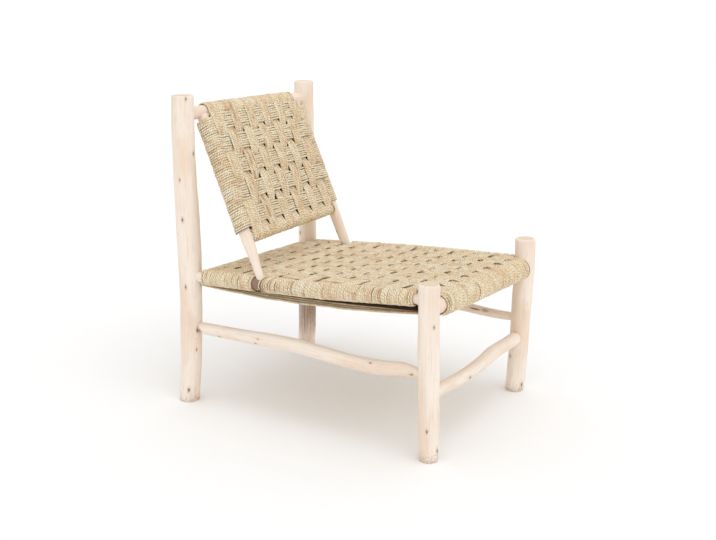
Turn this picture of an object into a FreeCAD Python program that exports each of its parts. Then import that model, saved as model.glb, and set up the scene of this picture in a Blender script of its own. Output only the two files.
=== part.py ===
"""Low lounge chair made of peeled branches, with a rope-woven seat and a rope-woven, leaning back.

Millimetres, +Z up. The origin lies on the floor under the middle of the chair, the front of the
chair faces -Y, and left is -X. Every branch is a separate round stick whose ends are whittled into
tenons. The rope bundles of the weave are bands one rope thick, laid over and under each other.
"""

import FreeCAD, Part
import math
import os

Vector = FreeCAD.Vector
UP = Vector(0, 0, 1)

# Size of the frame
post_spacing_across = 496.0
post_spacing_along = 667.0
rear_post_height = 760.0
front_post_height = 401.0

# Posts
rear_left_post_diameter = 57.0
rear_right_post_diameter = 53.0
front_left_post_diameter = 47.0
front_right_post_diameter = 50.6
foot_taper_height = 36.0
foot_tip_share = 0.85
post_top_rounding = 5.0
post_top_share = 0.84

# Branches of the seat and the stretchers
seat_front_rail_diameter = 38.0
seat_rear_rail_diameter = 27.0
seat_left_rail_diameter = 27.5
seat_right_rail_diameter = 25.0
left_stretcher_diameter = 34.0
right_stretcher_diameter = 26.0
front_stretcher_diameter = 33.5

# Heights of the branch axes above the floor, at the posts
seat_front_rail_left_height = 347.0
seat_front_rail_right_height = 327.0
seat_rear_rail_left_height = 305.0
seat_rear_rail_right_height = 295.0
seat_left_rail_front_height = 369.0
seat_left_rail_rear_height = 322.5
seat_right_rail_front_height = 338.0
seat_right_rail_rear_height = 299.0
left_stretcher_front_height = 198.0
left_stretcher_rear_height = 194.0
right_stretcher_front_height = 194.0
right_stretcher_rear_height = 196.0
front_stretcher_left_height = 148.0
front_stretcher_right_height = 147.0

# Leaning back
back_top_rail_diameter = 31.0
back_top_rail_below_post_top = 45.0
back_top_rail_height = rear_post_height - back_top_rail_below_post_top
back_bottom_rail_diameter = 23.0
back_stile_diameter = 31.0
back_left_stile_foot_from_front = 442.0
back_right_stile_foot_from_front = 531.0
back_left_stile_top_inset = 66.0
back_right_stile_top_inset = 51.0
back_bottom_rail_from_foot = 118.0

# Square tenons in blind mortises
seat_tenon_width = 15.0
stretcher_tenon_width = 12.0
stile_tenon_width = 9.0
tenon_tip_share = 0.76
shoulder_clearance = 1.0
post_core_radius = 11.0
branch_core_radius = 3.0
joint_clearance = 0.3
tenon_end_gap = 1.0
long_taper = 34.0
short_taper = 9.0
no_taper = 0.0
joint_reach = 20.0
stile_end_reach = 26.0
overrun = 2.0
post_step = 250.0
wavy_step = 150.0
stile_step = 62.0
rail_step = 250.0
bore_sides = 8

# Rope and weave
rope_diameter = 5.6
rope_clearance = 0.4
lip_clearance = 0.6
slanted_lip_clearance = 1.2
weave_clearance = 0.6
column_gap = 4.6
seat_column_count = 15
seat_row_count = 11
back_column_count = 11
back_row_count = 5
seat_row_width = 34.0
back_row_width = 36.0
seat_first_row_from_front = 42.0
seat_last_row_from_rear = 61.0
seat_weave_left_margin = 44.0
seat_weave_right_margin = 28.0
back_first_row_from_top = 38.8
back_last_row_from_bottom = 36.0
back_weave_margin = 23.5
band_lip = 0.8
front_wrap_extra = 2.6
wrap_end_margin = 3.0
left_wrap_bare_end = 17.0
foot_wrap_clearance = 2.0
left_foot_bare_stretch = 10.0
right_foot_bare_stretch = 8.0
seat_under_sag = 15.0
under_stop_share = 0.5
winding_above_bar = 12.0

# Shapes of the posts: height, lean across, lean along and girth, as shares of height and diameter
rear_left_post_shares = [
    (0.0, -0.090, 0.143, 0.90),
    (0.10, -0.041, 0.065, 0.92),
    (0.17, -0.005, 0.007, 0.94),
    (0.27, 0.024, -0.039, 0.95),
    (0.38, 0.046, -0.073, 0.97),
    (0.57, 0.044, -0.070, 1.0),
    (0.83, 0.020, -0.031, 0.95),
    (1.0, 0.047, -0.074, 0.93),
]
rear_right_post_shares = [
    (0.0, 0.023, -0.037, 0.93),
    (0.157, 0.054, -0.086, 0.94),
    (0.41, 0.084, -0.134, 0.94),
    (0.70, 0.060, -0.096, 0.97),
    (0.93, 0.028, -0.045, 1.0),
    (1.0, 0.035, -0.056, 1.0),
]
front_left_post_shares = [
    (0.0, 0.054, -0.087, 0.95),
    (0.30, 0.040, -0.060, 0.98),
    (0.60, 0.015, -0.025, 1.0),
    (1.0, -0.006, 0.009, 0.97),
]
front_right_post_shares = [
    (0.0, -0.089, 0.142, 0.95),
    (0.135, -0.049, 0.079, 0.96),
    (0.36, -0.006, 0.010, 0.98),
    (0.58, 0.013, -0.020, 0.98),
    (0.80, 0.051, -0.082, 0.99),
    (1.0, 0.042, -0.067, 1.0),
]

# Shapes of the branches: place along, rise, drift and girth, as shares of length and diameter
left_stretcher_shares = [
    (0.0, 0.0, 0.0, 0.72),
    (0.04, 0.0, 0.0, 0.76),
    (0.10, 0.05, 0.0, 0.90),
    (0.16, -0.12, 0.02, 0.97),
    (0.23, -0.20, 0.03, 0.98),
    (0.31, -0.17, 0.03, 0.94),
    (0.41, -0.04, 0.02, 0.98),
    (0.50, 0.10, 0.0, 1.0),
    (0.60, 0.15, -0.02, 0.97),
    (0.73, 0.06, -0.02, 0.92),
    (0.88, 0.02, 0.0, 0.86),
    (1.0, 0.0, 0.0, 0.84),
]
right_stretcher_shares = [
    (0.0, 0.0, 0.0, 0.80),
    (0.12, -0.05, 0.0, 0.88),
    (0.27, 0.12, 0.02, 0.96),
    (0.50, 0.10, 0.05, 1.0),
    (0.75, -0.08, 0.02, 0.98),
    (1.0, 0.0, 0.0, 0.94),
]
front_stretcher_shares = [
    (0.0, 0.0, 0.0, 0.80),
    (0.12, 0.0, 0.0, 0.84),
    (0.32, -0.17, 0.03, 0.92),
    (0.52, -0.13, 0.04, 0.97),
    (0.65, 0.06, 0.02, 1.0),
    (0.83, 0.02, 0.0, 1.0),
    (1.0, 0.0, 0.0, 0.97),
]
seat_front_rail_shares = [
    (0.0, 0.0, 0.0, 0.97),
    (0.40, -0.02, 0.02, 1.0),
    (0.75, -0.03, 0.0, 0.97),
    (1.0, 0.0, 0.0, 0.94),
]
seat_rear_rail_shares = [
    (0.0, 0.0, 0.0, 1.0),
    (0.42, 0.03, 0.03, 0.98),
    (1.0, 0.0, 0.0, 0.96),
]
seat_left_rail_shares = [
    (0.0, 0.0, 0.0, 0.94),
    (0.20, -0.11, 0.0, 0.98),
    (0.45, -0.22, 0.04, 1.0),
    (0.66, -0.13, 0.02, 1.0),
    (0.88, -0.03, 0.0, 1.0),
    (1.0, 0.0, 0.0, 0.98),
]
seat_right_rail_shares = [
    (0.0, 0.0, 0.0, 0.96),
    (0.35, 0.20, 0.0, 1.0),
    (0.62, 0.18, -0.04, 1.0),
    (1.0, 0.0, 0.0, 0.98),
]
back_top_rail_shares = [
    (0.0, 0.0, 0.0, 1.0),
    (0.42, 0.03, 0.02, 0.98),
    (1.0, 0.0, 0.0, 1.0),
]
back_bottom_rail_shares = [
    (0.0, 0.0, 0.0, 1.0),
    (0.42, 0.03, -0.02, 0.99),
    (1.0, 0.0, 0.0, 0.97),
]
back_left_stile_shares = [
    (0.0, 0.0, 0.0, 0.60),
    (0.07, 0.0, 0.0, 0.63),
    (0.14, 0.0, 0.01, 0.70),
    (0.22, 0.0, 0.02, 0.87),
    (0.30, 0.0, 0.02, 0.91),
    (0.65, 0.0, 0.03, 0.92),
    (1.0, 0.0, 0.0, 0.92),
]
back_right_stile_shares = [
    (0.0, 0.0, 0.0, 0.82),
    (0.12, 0.0, 0.01, 0.87),
    (0.25, 0.0, 0.02, 0.94),
    (0.65, 0.0, 0.03, 0.93),
    (1.0, 0.0, 0.0, 0.93),
]
long_shoulder_shares = [0.0, 0.2, 1.0]
short_shoulder_shares = [0.0, 1.0]

solids = {}


def interpolate(rows, share):
    """Return the values of a table of shares at one place, on a smooth line through its rows."""
    share = min(max(share, rows[0][0]), rows[-1][0])
    index = max(i for i in range(len(rows) - 1) if rows[i][0] <= share)
    before, after = rows[index], rows[index + 1]
    width = after[0] - before[0]
    part = (share - before[0]) / width
    earlier = rows[max(index - 1, 0)]
    later = rows[min(index + 2, len(rows) - 1)]
    values = []
    for column in range(1, len(before)):
        a, b = before[column], after[column]
        slope_in = (b - earlier[column]) / (after[0] - earlier[0]) * width
        slope_out = (later[column] - a) / (later[0] - before[0]) * width
        rest = 1 - part
        values.append(a * (1 + 2 * part) * rest ** 2 + slope_in * part * rest ** 2
                      + b * (3 - 2 * part) * part ** 2 - slope_out * rest * part ** 2)
    return values


def circle_wire(centre, direction, radius):
    return Part.Wire([Part.makeCircle(radius, centre, direction)])


def bore_wire(centre, direction, rise, radius):
    """A closed line with even, straight sides that touch a circle from outside."""
    drift = direction.cross(rise)
    turn = 2 * math.pi / bore_sides
    reach = radius / math.cos(turn / 2)
    corners = [centre + (rise * math.cos(turn * i) + drift * math.sin(turn * i)) * reach
               for i in range(bore_sides)]
    return Part.makePolygon(corners + corners[:1])


class Branch:
    """A round stick that sways and swells along its length and is straight where others join it.

    The step is the usual distance between the rings that give its shape. The straight stretches
    are given from one place to another along the stick, and its whittled ends as place, direction
    inward, length of the taper and radius of the tip.
    """

    def __init__(self, start, end, diameter, shares, step, ends=(), straights=(),
                 rise_direction=UP):
        self.start = start
        self.diameter = diameter
        self.shares = shares
        span = end - start
        self.length = span.Length
        self.direction = span.normalize()
        rise = rise_direction - self.direction * rise_direction.dot(self.direction)
        self.rise = rise.normalize()
        self.drift = self.direction.cross(self.rise)
        self.ends = ends
        self.straights = [(self.share_at(first), self.share_at(last)) for first, last in straights]
        self.rings = [(place,) + self.ring(place) for place in self.stations(step)]

    def share_at(self, distance):
        return distance / self.length

    def line(self, share):
        return self.start + self.direction * (self.length * share)

    def stations(self, step):
        """Places of the rings: the ends of straight and whittled stretches, and even steps."""
        places = [0, 1] + [place for stretch in self.straights for place in stretch
                           if 0 < place < 1]
        for start, inward, taper, tip_radius in self.ends:
            shares = long_shoulder_shares if taper >= long_taper else short_shoulder_shares
            for share in shares:
                place = self.share_at(start + inward * taper * share)
                if self.is_free(place, places, self.share_at(overrun)):
                    places.append(place)
        count = max(1, round(self.length / step))
        for index in range(1, count):
            if self.is_free(index / count, places, 1 / count / 3):
                places.append(index / count)
        return sorted(places)

    def is_free(self, share, places, near):
        """Whether a ring may stand here: off the straight stretches and not near another ring."""
        inside = any(first < share < last for first, last in self.straights)
        return not inside and min(abs(share - other) for other in places) > near

    def ring(self, share):
        """Centre and radius at one place of the natural shape."""
        source = share
        for first, last in self.straights:
            if first <= share <= last:
                source = (first + last) / 2
        rise, drift, girth = interpolate(self.shares, source)
        radius = girth * self.diameter / 2
        for place, inward, taper, tip_radius in self.ends:
            run = (source * self.length - place) * inward / taper
            if run < 1:
                swell = math.sqrt(max(0, 1 - (1 - max(run, 0)) ** 2))
                radius = tip_radius + (radius - tip_radius) * swell
        return self.line(share) + (self.rise * rise + self.drift * drift) * self.diameter, radius

    def between(self, share):
        """Centre and radius at one place, on the straight lines between the rings."""
        index = max(i for i in range(len(self.rings) - 1) if i == 0 or self.rings[i][0] <= share)
        before, after = self.rings[index], self.rings[index + 1]
        part = (share - before[0]) / (after[0] - before[0])
        centre = before[1] * (1 - part) + after[1] * part
        return centre, before[2] * (1 - part) + after[2] * part

    def centre(self, share):
        return self.between(share)[0]

    def radius(self, share):
        return self.between(share)[1]

    def solid(self, first, last, growth=0):
        """The stretch between two shares of the length, with its radius grown."""
        wires = [circle_wire(self.centre(place), self.direction, self.radius(place) + growth)
                 for place in self.places_between(first, last)]
        return Part.makeLoft(wires, True, True)

    def bore(self, first, last, growth):
        """Room for the stretch inside a sleeve, with flat sides round it."""
        wires = [bore_wire(self.centre(place), self.direction, self.rise,
                           self.radius(place) + growth)
                 for place in self.places_between(first, last)]
        return Part.makeLoft(wires, True, True)

    def places_between(self, first, last):
        least = self.share_at(overrun) / 2
        inner = [ring[0] for ring in self.rings if first + least < ring[0] < last - least]
        return [first] + inner + [last]


class Post(Branch):
    """A standing branch, straight where others join it, narrowed at the foot and at the top."""

    def __init__(self, side, end, height, diameter, shares, joint_heights):
        foot = Vector(side * post_spacing_across / 2, end * post_spacing_along / 2, 0)
        ends = [
            (0, 1, foot_taper_height, foot_tip_share * diameter / 2),
            (height, -1, post_top_rounding, post_top_share * diameter / 2),
        ]
        straights = []
        for place in sorted(joint_heights):
            first, last = around(place)
            if straights and first - straights[-1][1] < 2 * joint_reach:
                first = straights.pop()[0]
            straights.append((first, last))
        super().__init__(foot, foot + UP * height, diameter, shares, post_step, ends, straights,
                         Vector(1, 0, 0))

    def at_height(self, height):
        return self.centre(self.share_at(height))

    def radius_at(self, height):
        return self.radius(self.share_at(height))


def around(place):
    """The straight stretch of a branch round a joint."""
    return (place - joint_reach, place + joint_reach)


def make_rail(name, first, last, diameter, tenon_width, shares, step, tapers, joints=()):
    """Lay a branch between two hosts, with square tenons on its ends, and mortise the hosts.

    A host is the name of the solid, the point on its axis, its radius there and how near to its
    axis the tenon may come. The joints tell how far from the first host others join the branch.
    """
    length = (last[1] - first[1]).Length
    shoulders = (first[2] + shoulder_clearance, length - last[2] - shoulder_clearance)
    ends = [(place, inward, taper, tenon_tip_share * tenon_width)
            for place, inward, taper in zip(shoulders, (1, -1), tapers) if taper]
    rail = Branch(first[1], last[1], diameter, shares, step, ends,
                  [around(place) for place in joints])
    body = rail.solid(rail.share_at(shoulders[0]), rail.share_at(shoulders[1]))
    for host, shoulder, outward in ((first, shoulders[0], rail.direction * -1),
                                    (last, shoulders[1], rail.direction)):
        host_name, _, host_radius, core = host
        root = rail.centre(rail.share_at(shoulder))
        reach = shoulder_clearance + host_radius - core
        body = body.fuse(square_bar(root, outward, rail.rise, tenon_width, reach))
        mortise(host_name, root, outward, rail.rise, tenon_width, reach)
    solids[name] = body
    return rail


def square_bar(start, direction, rise, width, length):
    """A square bar from a point on its axis along a direction, with two sides facing the rise."""
    drift = direction.cross(rise)
    corners = [start + rise * (width / 2 * a) + drift * (width / 2 * b)
               for a, b in ((-1, -1), (1, -1), (1, 1), (-1, 1), (-1, -1))]
    return Part.Face(Part.makePolygon(corners)).extrude(direction * length)


def mortise(host_name, start, direction, rise, tenon_width, reach):
    """Cut the room of a tenon, with its clearance, out of the branch that holds it."""
    room = square_bar(start - direction * overrun, direction, rise,
                      tenon_width + 2 * joint_clearance, overrun + reach + tenon_end_gap)
    solids[host_name] = solids[host_name].cut(room)


def post_host(post_name, height):
    """The place on a post where a branch joins it at this height."""
    post = posts[post_name]
    return (post_name, post.at_height(height), post.radius_at(height), post_core_radius)


def branch_host(name, branch, share):
    """The place on a branch where another, thinner branch joins it."""
    return (name, branch.centre(share), branch.radius(share), branch_core_radius)


def make_stile(name, foot_host, top_host, foot_branch, top_branch, shares):
    """Stand a branch of the back between two rails, with its ends cut to lie on their round sides."""
    length = (top_host[1] - foot_host[1]).Length
    straights = [(0, stile_end_reach), around(back_bottom_rail_from_foot),
                 (length - stile_end_reach, length)]
    stile = Branch(foot_host[1], top_host[1], back_stile_diameter, shares, stile_step,
                   straights=straights)
    shape = stile.solid(0, 1)
    for host, branch, inward in ((foot_host, foot_branch, 1), (top_host, top_branch, -1)):
        host_name, point, host_radius, core = host
        shape = shape.cut(branch.solid(0, 1, joint_clearance))
        shape = max(shape.Solids, key=lambda piece: piece.Volume)
        outward = stile.direction * -inward
        reach = host_radius - core + stile.radius(0.5)
        root = point - outward * (host_radius + stile.radius(0.5))
        shape = shape.fuse(square_bar(root, outward, stile.rise, stile_tenon_width, reach))
        mortise(host_name, root, outward, stile.rise, stile_tenon_width, reach)
    solids[name] = shape
    return stile


def sleeve(branch, first, last, thickness):
    """The rope wound round a stretch of a branch, as a sleeve of its thickness."""
    extra = branch.share_at(overrun)
    outer = branch.solid(first, last, rope_clearance + thickness)
    inner = branch.bore(first - extra, last + extra, rope_clearance)
    return outer.cut(inner)


class Panel:
    """A woven field whose warp runs between two rails and whose weft runs between two sides."""

    def __init__(self, normal, starts, ends, lefts, rights, columns, rows, clearance):
        self.normal = normal
        self.starts = starts
        self.ends = ends
        self.lefts = lefts
        self.rights = rights
        self.columns = columns
        self.rows = rows
        self.clearance = clearance

    def warp_bands(self, middle, side, stops, tucked=False):
        """One band to each column, straight between the stops of its run."""
        bands = []
        for edges in self.columns:
            across = sum(edges) / 2
            points = [middle(across, along, 0) for along in stops]
            bands.append(self.band(self.starts, self.ends, edges, side, points, tucked))
        return bands

    def weft_bands(self, middle, side, stops=None, tucked=False):
        """One band to each row, straight between its stops, or else over and under the columns."""
        bands = []
        for row, edges in enumerate(self.rows):
            along = sum(edges) / 2
            if stops:
                points = [middle(across, along, 0) for across in stops]
            else:
                points = [middle(across, along, weft_side(column, row))
                          for column, column_edges in enumerate(self.columns)
                          for across in column_edges]
            bands.append(self.band(self.lefts, self.rights, edges, side, points, tucked))
        return bands

    def band(self, starts, ends, edges, side, points, tucked):
        """A band from its side outline, as wide as the way between its edges on the two rails."""
        near, far = edges
        width = (starts(far)[0] - starts(near)[0] + ends(far)[0] - ends(near)[0]) / 2
        outline = band_profile(starts(sum(edges) / 2), ends(sum(edges) / 2), self.normal * side,
                               points, self.clearance, tucked)
        face = Part.Face(outline)
        face.translate(width * -0.5)
        return face.extrude(width)


def weft_side(column, row):
    """1 where the weft passes over the warp and -1 where it passes under, as on a chequerboard."""
    return 1 if (column + row) % 2 else -1


def band_profile(start, end, normal, centres, clearance, tucked):
    """The side outline of a band between two wound rails, which passes through its centres.

    Its ends lie on top of the rope round the rails, or are tucked in beside it.
    """
    start_point, start_radius = start
    end_point, end_radius = end
    span = end_point - start_point
    along = span - normal * span.dot(normal)
    length = along.Length
    along.normalize()
    end_rise = span.dot(normal)

    def lip(radius):
        """How far a lip's underside runs level, how far the lip reaches, and its seat."""
        seat = radius + clearance
        angle = math.acos((seat + band_lip - rope_diameter) / seat)
        return seat * math.tan(angle / 2), seat * math.sin(angle), seat

    half = rope_diameter / 2
    level, reach, seat = lip(start_radius)
    end_level, end_reach, end_seat = lip(end_radius)
    end_seat += end_rise
    places = [((point - start_point).dot(along), (point - start_point).dot(normal))
              for point in centres]
    upper = [(reach, seat + band_lip)]
    upper += [(distance, rise + half) for distance, rise in places]
    upper += [(length - end_reach, end_seat + band_lip)]
    lower = [(reach, seat + band_lip - rope_diameter)]
    lower += [(distance, rise - half) for distance, rise in places]
    lower += [(length - end_reach, end_seat + band_lip - rope_diameter)]
    if not tucked:
        lower = [(0, seat), (level, seat)] + lower + [(length - end_level, end_seat),
                                                      (length, end_seat)]
        upper = [(0, seat + band_lip)] + upper + [(length, end_seat + band_lip)]
    corners = [start_point + along * distance + normal * rise
               for distance, rise in lower + upper[::-1]]
    return Part.makePolygon(corners + corners[:1])


def evenly(first, last, count):
    step = (last - first) / (count - 1)
    return [first + step * index for index in range(count)]


def strips(first, last, count, gap):
    """The edges of bands that share a stretch evenly, with a gap between neighbours."""
    pitch = (last - first + gap) / count
    return [(first + pitch * index, first + pitch * (index + 1) - gap) for index in range(count)]


def clear_of(bands, obstacles):
    """Notch the bands round whatever stands in their way."""
    cleared = []
    for band in bands:
        for obstacle in obstacles:
            if band.BoundBox.intersect(obstacle.BoundBox):
                band = band.cut(obstacle)
        cleared += band.Solids
    return cleared


os.makedirs("parts", exist_ok=True)

# Posts
posts = {
    "rear_left_post": Post(-1, 1, rear_post_height, rear_left_post_diameter, rear_left_post_shares,
                           (left_stretcher_rear_height, seat_rear_rail_left_height,
                            seat_left_rail_rear_height, back_top_rail_height)),
    "rear_right_post": Post(1, 1, rear_post_height, rear_right_post_diameter,
                            rear_right_post_shares,
                            (right_stretcher_rear_height, seat_rear_rail_right_height,
                             seat_right_rail_rear_height, back_top_rail_height)),
    "front_left_post": Post(-1, -1, front_post_height, front_left_post_diameter,
                            front_left_post_shares,
                            (front_stretcher_left_height, left_stretcher_front_height,
                             seat_front_rail_left_height, seat_left_rail_front_height)),
    "front_right_post": Post(1, -1, front_post_height, front_right_post_diameter,
                             front_right_post_shares,
                             (front_stretcher_right_height, right_stretcher_front_height,
                              seat_front_rail_right_height, seat_right_rail_front_height)),
}
for post_name, post in posts.items():
    solids[post_name] = post.solid(0, 1)

# Stretchers near the floor
make_rail("left_stretcher", post_host("front_left_post", left_stretcher_front_height),
          post_host("rear_left_post", left_stretcher_rear_height), left_stretcher_diameter,
          stretcher_tenon_width, left_stretcher_shares, wavy_step, (long_taper, short_taper))
make_rail("right_stretcher", post_host("front_right_post", right_stretcher_front_height),
          post_host("rear_right_post", right_stretcher_rear_height), right_stretcher_diameter,
          stretcher_tenon_width, right_stretcher_shares, wavy_step, (short_taper, short_taper))
make_rail("front_stretcher", post_host("front_left_post", front_stretcher_left_height),
          post_host("front_right_post", front_stretcher_right_height), front_stretcher_diameter,
          stretcher_tenon_width, front_stretcher_shares, wavy_step, (short_taper, short_taper))

# Rails of the seat
seat_front = make_rail(
    "seat_front_rail", post_host("front_left_post", seat_front_rail_left_height),
    post_host("front_right_post", seat_front_rail_right_height), seat_front_rail_diameter,
    seat_tenon_width, seat_front_rail_shares, rail_step, (no_taper, no_taper))
seat_rear = make_rail(
    "seat_rear_rail", post_host("rear_left_post", seat_rear_rail_left_height),
    post_host("rear_right_post", seat_rear_rail_right_height), seat_rear_rail_diameter,
    seat_tenon_width, seat_rear_rail_shares, rail_step, (no_taper, no_taper))
seat_left = make_rail(
    "seat_left_rail", post_host("front_left_post", seat_left_rail_front_height),
    post_host("rear_left_post", seat_left_rail_rear_height), seat_left_rail_diameter,
    seat_tenon_width, seat_left_rail_shares, rail_step, (no_taper, short_taper),
    (back_left_stile_foot_from_front,))
seat_right = make_rail(
    "seat_right_rail", post_host("front_right_post", seat_right_rail_front_height),
    post_host("rear_right_post", seat_right_rail_rear_height), seat_right_rail_diameter,
    seat_tenon_width, seat_right_rail_shares, rail_step, (no_taper, no_taper),
    (back_right_stile_foot_from_front,))

# Frame of the back: the top rail, the two stiles on the seat's side rails and the bottom rail
top_left_host = post_host("rear_left_post", back_top_rail_height)
top_right_host = post_host("rear_right_post", back_top_rail_height)
back_top = make_rail(
    "back_top_rail", top_left_host, top_right_host, back_top_rail_diameter,
    seat_tenon_width, back_top_rail_shares, rail_step, (no_taper, no_taper),
    (back_left_stile_top_inset,
     (top_right_host[1] - top_left_host[1]).Length - back_right_stile_top_inset))
left_foot_share = seat_left.share_at(back_left_stile_foot_from_front)
right_foot_share = seat_right.share_at(back_right_stile_foot_from_front)
left_top_share = back_top.share_at(back_left_stile_top_inset)
right_top_share = 1 - back_top.share_at(back_right_stile_top_inset)
left_stile = make_stile(
    "back_left_stile", branch_host("seat_left_rail", seat_left, left_foot_share),
    branch_host("back_top_rail", back_top, left_top_share), seat_left, back_top,
    back_left_stile_shares)
right_stile = make_stile(
    "back_right_stile", branch_host("seat_right_rail", seat_right, right_foot_share),
    branch_host("back_top_rail", back_top, right_top_share), seat_right, back_top,
    back_right_stile_shares)
left_bar_share = left_stile.share_at(back_bottom_rail_from_foot)
right_bar_share = right_stile.share_at(back_bottom_rail_from_foot)
bar_left_host = branch_host("back_left_stile", left_stile, left_bar_share)
bar_right_host = branch_host("back_right_stile", right_stile, right_bar_share)
back_bottom = make_rail(
    "back_bottom_rail", bar_left_host, bar_right_host, back_bottom_rail_diameter,
    stile_tenon_width, back_bottom_rail_shares, rail_step, (no_taper, no_taper),
    (0, (bar_right_host[1] - bar_left_host[1]).Length))

# Rope wound round the rails of the seat
wrap_thickness = rope_diameter
front_wrap_thickness = rope_diameter + front_wrap_extra
seat_first_column = seat_weave_left_margin
seat_last_column = seat_front.length - seat_weave_right_margin
solids["seat_front_wrap"] = sleeve(
    seat_front, seat_front.share_at(seat_first_column), seat_front.share_at(seat_last_column),
    front_wrap_thickness)
solids["seat_rear_wrap"] = sleeve(
    seat_rear, seat_rear.share_at(seat_first_column), seat_rear.share_at(seat_last_column),
    wrap_thickness)


def side_wrap(rail, stile, foot_share, front_post, rear_post, rear_bare, behind_foot):
    """Rope round a side rail in two stretches, which leave the foot of the stile bare."""
    half_foot = stile.radius(0) + foot_wrap_clearance
    front = rail.share_at(front_post + wrap_end_margin)
    rear = 1 - rail.share_at(rear_post + rear_bare)
    before = foot_share - rail.share_at(half_foot)
    behind = foot_share + rail.share_at(half_foot + behind_foot)
    return Part.makeCompound([sleeve(rail, front, before, wrap_thickness),
                              sleeve(rail, behind, rear, wrap_thickness)])


solids["seat_left_wrap"] = side_wrap(
    seat_left, left_stile, left_foot_share,
    posts["front_left_post"].radius_at(seat_left_rail_front_height),
    posts["rear_left_post"].radius_at(seat_left_rail_rear_height),
    left_wrap_bare_end, left_foot_bare_stretch)
solids["seat_right_wrap"] = side_wrap(
    seat_right, right_stile, right_foot_share,
    posts["front_right_post"].radius_at(seat_right_rail_front_height),
    posts["rear_right_post"].radius_at(seat_right_rail_rear_height),
    wrap_end_margin, right_foot_bare_stretch)

# Rope wound round the frame of the back
top_run = back_top.length * (right_top_share - left_top_share)
solids["back_top_wrap"] = sleeve(
    back_top, left_top_share + back_top.share_at(back_weave_margin),
    right_top_share - back_top.share_at(back_weave_margin), wrap_thickness)
solids["back_bottom_wrap"] = sleeve(
    back_bottom, back_bottom.share_at(back_weave_margin),
    1 - back_bottom.share_at(back_weave_margin), wrap_thickness)
winding_below_top = back_top_rail_diameter / 2 + rope_diameter
for winding_name, stile, bar_share in (("back_left_winding", left_stile, left_bar_share),
                                       ("back_right_winding", right_stile, right_bar_share)):
    winding = sleeve(stile, bar_share + stile.share_at(winding_above_bar),
                     1 - stile.share_at(winding_below_top), wrap_thickness)
    bar_way = back_bottom.solid(0, 1, rope_clearance)
    solids[winding_name] = max(winding.cut(bar_way).Solids, key=lambda piece: piece.Volume)

# Woven seat
weave_step = rope_diameter + weave_clearance
weave_reach = weave_step + rope_diameter / 2


def wound(rail, share, thickness=wrap_thickness):
    """A point on a rail's axis and the outer radius of the rope wound round it there."""
    return rail.centre(share), rail.radius(share) + rope_clearance + thickness


def seat_middle(across, along, side):
    """A point of the seat's weave: midway between the tops of the four wound rails."""
    front_radius = seat_front_rail_diameter / 2 + front_wrap_thickness
    rear_radius = seat_rear_rail_diameter / 2 + wrap_thickness
    left_radius = seat_left_rail_diameter / 2 + wrap_thickness
    right_radius = seat_right_rail_diameter / 2 + wrap_thickness
    warp = ((seat_front.line(across) + UP * front_radius) * (1 - along)
            + (seat_rear.line(across) + UP * rear_radius) * along)
    weft = ((seat_left.line(along) + UP * left_radius) * (1 - across)
            + (seat_right.line(along) + UP * right_radius) * across)
    level = (warp.z + weft.z) / 2 + (side - 1) * weave_step
    return Vector(warp.x, weft.y, level)


def under_warp_middle(across, along, side):
    """A point of the ropes that hang under the seat from the front rail to the rear rail."""
    front, front_radius = wound(seat_front, across, front_wrap_thickness)
    rear, rear_radius = wound(seat_rear, across)
    warp = (front - UP * front_radius) * (1 - along) + (rear - UP * rear_radius) * along
    sag = seat_under_sag * 4 * along * (1 - along)
    return Vector(warp.x, warp.y, warp.z + rope_diameter / 2 - sag)


def under_weft_middle(across, along, side):
    """A point of the ropes that cross under the seat from the left rail to the right rail."""
    left, left_radius = wound(seat_left, along)
    right, right_radius = wound(seat_right, along)
    weft = (left - UP * left_radius) * (1 - across) + (right - UP * right_radius) * across
    return Vector(weft.x, weft.y, weft.z + rope_diameter / 2)


seat_columns = [
    (seat_front.share_at(a), seat_front.share_at(b))
    for a, b in strips(seat_first_column, seat_last_column, seat_column_count, column_gap)
]
seat_rows = [
    (seat_left.share_at(place - seat_row_width / 2), seat_left.share_at(place + seat_row_width / 2))
    for place in evenly(seat_first_row_from_front, seat_left.length - seat_last_row_from_rear,
                        seat_row_count)
]
seat_sides = (
    lambda across: wound(seat_front, across, front_wrap_thickness),
    lambda across: wound(seat_rear, across),
    lambda along: wound(seat_left, along),
    lambda along: wound(seat_right, along),
)
seat_panel = Panel(UP, *seat_sides, seat_columns, seat_rows, lip_clearance)
under_panel = Panel(UP, *seat_sides, seat_columns, seat_rows[1:], lip_clearance)
stile_ways = [left_stile.solid(0, 1, rope_clearance), right_stile.solid(0, 1, rope_clearance)]
seat_warp_stops = (seat_rows[0][0], seat_rows[-1][1])
solids["seat_warp"] = Part.makeCompound(seat_panel.warp_bands(seat_middle, 1, seat_warp_stops))
solids["seat_weft"] = Part.makeCompound(clear_of(seat_panel.weft_bands(seat_middle, 1), stile_ways))
solids["seat_under_warp"] = Part.makeCompound(
    under_panel.warp_bands(under_warp_middle, -1, (under_stop_share,), tucked=True))
solids["seat_under_weft"] = Part.makeCompound(
    under_panel.weft_bands(under_weft_middle, -1, (under_stop_share,), tucked=True))

# Woven back
left_bar = left_stile.centre(left_bar_share)
right_bar = right_stile.centre(right_bar_share)
left_top = back_top.centre(left_top_share)
right_top = back_top.centre(right_top_share)
panel_across = (right_top - left_top) + (right_bar - left_bar)
panel_up = (left_top - left_bar) + (right_top - right_bar)
back_normal = panel_across.cross(panel_up).normalize()


def back_axis_point(across, along):
    """A point of the sheet between the axes of the back's four branches, from the top down."""
    left = left_top * (1 - along) + left_bar * along
    right = right_top * (1 - along) + right_bar * along
    return left * (1 - across) + right * across


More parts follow.
